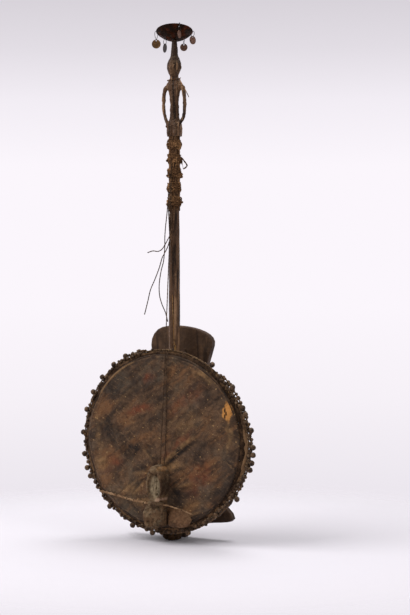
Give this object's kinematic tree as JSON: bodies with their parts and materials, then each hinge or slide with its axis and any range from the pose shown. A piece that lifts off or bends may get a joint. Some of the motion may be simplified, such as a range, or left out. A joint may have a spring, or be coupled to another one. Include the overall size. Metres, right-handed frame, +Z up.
{
  "type": "bridge harp lute",
  "caption": "Bridge harp lute: round skin-fronted bowl on a carved wooden back, long neck carved with a standing figure, cord tuning bindings, loose strings, rattle dish with pendants.",
  "frame": {"origin": "middle of the flat heel of the wooden back, on the floor", "axes": "+Z up along the neck, -Y out of the skin's face, +X to the viewer's right when the skin is faced"},
  "size_m": [0.4047, 0.1443, 1.0829],
  "materials": {
    "dark_wood": "worn satin",
    "grey_wood": "worn satin",
    "skin_hide": "stained, matt",
    "tan_hide": "dry, matt",
    "seed": "worn",
    "brown_cord": "matt",
    "pale_cord": "matt",
    "gut": "dry",
    "bridge_wood": "dry, matt",
    "dish_metal": "rusted",
    "wire": "dull",
    "disc_metal": "dull"
  },
  "bodies": {
    "body": {"neck": "dark_wood", "shell": "dark_wood", "wooden_back": "grey_wood", "back_peg_1": "dark_wood", "back_peg_2": "dark_wood", "back_peg_3": "dark_wood", "back_peg_4": "dark_wood", "skin": "skin_hide", "rim_hoop": "brown_cord", "bead_string": "seed", "rim_cord": "pale_cord", "bridge": "bridge_wood", "bridge_foot": "bridge_wood", "skin_fold": "tan_hide", "stay_cord": "pale_cord", "tail_binding": "brown_cord", "rattle_dish": "dish_metal", "dish_nail": "wire", "necklace_cord": "brown_cord"},
    "binding_1": {"tuning_binding_1": "brown_cord"},
    "binding_2": {"tuning_binding_2": "brown_cord", "broken_string_upper": "gut"},
    "binding_3": {"tuning_binding_3": "brown_cord", "broken_string_lower": "gut"},
    "binding_4": {"tuning_binding_4": "brown_cord", "taut_string": "gut"},
    "binding_5": {"tuning_binding_5": "brown_cord", "slack_string": "gut"},
    "link_1": {"wire_link_1": "wire"},
    "disc_1": {"pendant_disc_1": "disc_metal"},
    "link_2": {"wire_link_2": "wire"},
    "disc_2": {"pendant_disc_2": "disc_metal"},
    "link_3": {"wire_link_3": "wire"},
    "disc_3": {"pendant_disc_3": "disc_metal"},
    "link_4": {"wire_link_4": "wire"},
    "disc_4": {"pendant_disc_4": "disc_metal"},
    "link_5": {"wire_link_5": "wire"},
    "disc_5": {"pendant_disc_5": "disc_metal"}
  },
  "joints": [
    {"name": "binding_1_slide", "type": "slide", "parent": "body", "child": "binding_1", "axis": [0, 0, 1], "range_m": [-0.003, 0.003]},
    {"name": "binding_2_slide", "type": "slide", "parent": "body", "child": "binding_2", "axis": [0, 0, 1], "range_m": [-0.003, 0.003]},
    {"name": "binding_3_slide", "type": "slide", "parent": "body", "child": "binding_3", "axis": [0, 0, 1], "range_m": [-0.003, 0.003]},
    {"name": "binding_4_slide", "type": "slide", "parent": "body", "child": "binding_4", "axis": [0, 0, 1], "range_m": [-0.003, 0.003], "deforming": ["taut_string"]},
    {"name": "binding_5_slide", "type": "slide", "parent": "body", "child": "binding_5", "axis": [0, 0, 1], "range_m": [-0.003, 0.003]},
    {"name": "link_1_hinge", "type": "hinge", "parent": "body", "child": "link_1", "pos_m": [-0.0345, -0.05267, 1.06632], "axis": [-0.3827, 0.9239, 0], "range_deg": [-8, 30]},
    {"name": "disc_1_hinge", "type": "hinge", "parent": "link_1", "child": "disc_1", "pos_m": [-0.0375, -0.05391, 1.05183], "axis": [0.3827, -0.9239, 0], "range_deg": [-30, 30]},
    {"name": "link_2_hinge", "type": "hinge", "parent": "body", "child": "link_2", "pos_m": [-0.03214, -0.02277, 1.05903], "axis": [0.4924, 0.8704, 0], "range_deg": [-8, 30]},
    {"name": "disc_2_hinge", "type": "hinge", "parent": "link_2", "child": "disc_2", "pos_m": [-0.03497, -0.02117, 1.04783], "axis": [-0.6088, -0.7934, 0], "range_deg": [-30, 30]},
    {"name": "link_3_hinge", "type": "hinge", "parent": "body", "child": "link_3", "pos_m": [0.00005, -0.00497, 1.05877], "axis": [0.999, -0.0436, 0], "range_deg": [-8, 30]},
    {"name": "disc_3_hinge", "type": "hinge", "parent": "link_3", "child": "disc_3", "pos_m": [0.00019, -0.00172, 1.04777], "axis": [-0.4617, 0.887, 0], "range_deg": [-30, 30]},
    {"name": "link_4_hinge", "type": "hinge", "parent": "body", "child": "link_4", "pos_m": [0.02771, -0.02028, 1.06632], "axis": [0.5373, -0.8434, 0], "range_deg": [-8, 30]},
    {"name": "disc_4_hinge", "type": "hinge", "parent": "link_4", "child": "disc_4", "pos_m": [0.03045, -0.01854, 1.05953], "axis": [0.9537, -0.3007, 0], "range_deg": [-30, 30]},
    {"name": "link_5_hinge", "type": "hinge", "parent": "body", "child": "link_5", "pos_m": [0.02136, -0.0625, 1.07504], "axis": [-0.7133, -0.7009, 0], "range_deg": [-8, 30]},
    {"name": "disc_5_hinge", "type": "hinge", "parent": "link_5", "child": "disc_5", "pos_m": [0.02364, -0.06482, 1.06554], "axis": [0.9969, 0.0785, 0], "range_deg": [-30, 30]}
  ]
}
